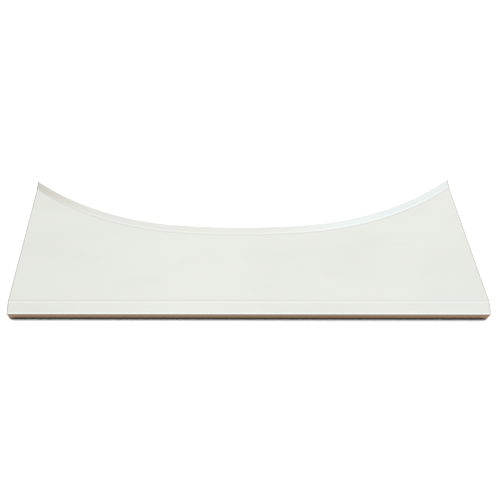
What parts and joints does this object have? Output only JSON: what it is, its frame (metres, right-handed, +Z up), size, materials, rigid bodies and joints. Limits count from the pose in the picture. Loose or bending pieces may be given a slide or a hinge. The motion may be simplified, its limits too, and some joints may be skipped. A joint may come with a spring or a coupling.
{
  "type": "exterior truck sun visor",
  "caption": "Cab-wide folded sheet visor blade with a concave rear edge, upturned rear flange, turned-down front lip, and folding mounting brackets stowed flat underneath.",
  "frame": {"origin": "middle of the footprint, on the surface that the blade stands on", "axes": "+X across the cab to the right as seen from in front, +Y to the rear of the cab, +Z up with the blade standing on its side returns"},
  "size_m": [1.93, 0.704, 0.0552],
  "materials": {
    "polished_sheet": "mirror-polished stainless sheet",
    "bracket_steel": "stainless plate as cut and folded",
    "fastener_steel": "plain stainless fasteners",
    "gasket_foam": "closed-cell foam rubber, matt",
    "pad_rubber": "moulded rubber, matt",
    "nylon": "natural nylon"
  },
  "bodies": {
    "blade": {"blade": "polished_sheet", "ear_left_left_inner": "bracket_steel", "ear_left_left_outer": "bracket_steel", "ear_left_right_inner": "bracket_steel", "ear_left_right_outer": "bracket_steel", "ear_right_left_inner": "bracket_steel", "ear_right_left_outer": "bracket_steel", "ear_right_right_inner": "bracket_steel", "ear_right_right_outer": "bracket_steel", "friction_washers": "nylon", "pivot_bolts": "fastener_steel", "pivot_nuts": "fastener_steel", "roof_gasket": "gasket_foam", "stud_nuts": "fastener_steel", "weld_studs": "fastener_steel"},
    "arm_left_outer": {"arm_left_outer": "bracket_steel", "foot_bolt_left_outer": "fastener_steel", "foot_nut_left_outer": "fastener_steel", "spacers_left_outer": "bracket_steel"},
    "foot_left_outer": {"foot_left_outer": "bracket_steel", "pad_left_outer": "pad_rubber"},
    "arm_left_inner": {"arm_left_inner": "bracket_steel", "foot_bolt_left_inner": "fastener_steel", "foot_nut_left_inner": "fastener_steel", "spacers_left_inner": "bracket_steel"},
    "foot_left_inner": {"foot_left_inner": "bracket_steel", "pad_left_inner": "pad_rubber"},
    "arm_right_inner": {"arm_right_inner": "bracket_steel", "foot_bolt_right_inner": "fastener_steel", "foot_nut_right_inner": "fastener_steel", "spacers_right_inner": "bracket_steel"},
    "foot_right_inner": {"foot_right_inner": "bracket_steel", "pad_right_inner": "pad_rubber"},
    "arm_right_outer": {"arm_right_outer": "bracket_steel", "foot_bolt_right_outer": "fastener_steel", "foot_nut_right_outer": "fastener_steel", "spacers_right_outer": "bracket_steel"},
    "foot_right_outer": {"foot_right_outer": "bracket_steel", "pad_right_outer": "pad_rubber"}
  },
  "joints": [
    {"name": "arm_swing_left_outer", "type": "hinge", "parent": "blade", "child": "arm_left_outer", "pos_m": [-0.76, 0.10917, 0.01132], "axis": [1, 0, 0], "range_deg": [0, 150]},
    {"name": "foot_tilt_left_outer", "type": "hinge", "parent": "arm_left_outer", "child": "foot_left_outer", "pos_m": [-0.76, -0.04045, 0.02199], "axis": [1, 0, 0], "range_deg": [-100, 0]},
    {"name": "arm_swing_left_inner", "type": "hinge", "parent": "blade", "child": "arm_left_inner", "pos_m": [-0.3, -0.02393, 0.02081], "axis": [1, 0, 0], "range_deg": [0, 150]},
    {"name": "foot_tilt_left_inner", "type": "hinge", "parent": "arm_left_inner", "child": "foot_left_inner", "pos_m": [-0.3, -0.17355, 0.03148], "axis": [1, 0, 0], "range_deg": [-100, 0]},
    {"name": "arm_swing_right_inner", "type": "hinge", "parent": "blade", "child": "arm_right_inner", "pos_m": [0.3, -0.02393, 0.02081], "axis": [1, 0, 0], "range_deg": [0, 150]},
    {"name": "foot_tilt_right_inner", "type": "hinge", "parent": "arm_right_inner", "child": "foot_right_inner", "pos_m": [0.3, -0.17355, 0.03148], "axis": [1, 0, 0], "range_deg": [-100, 0]},
    {"name": "arm_swing_right_outer", "type": "hinge", "parent": "blade", "child": "arm_right_outer", "pos_m": [0.76, 0.10917, 0.01132], "axis": [1, 0, 0], "range_deg": [0, 150]},
    {"name": "foot_tilt_right_outer", "type": "hinge", "parent": "arm_right_outer", "child": "foot_right_outer", "pos_m": [0.76, -0.04045, 0.02199], "axis": [1, 0, 0], "range_deg": [-100, 0]}
  ]
}
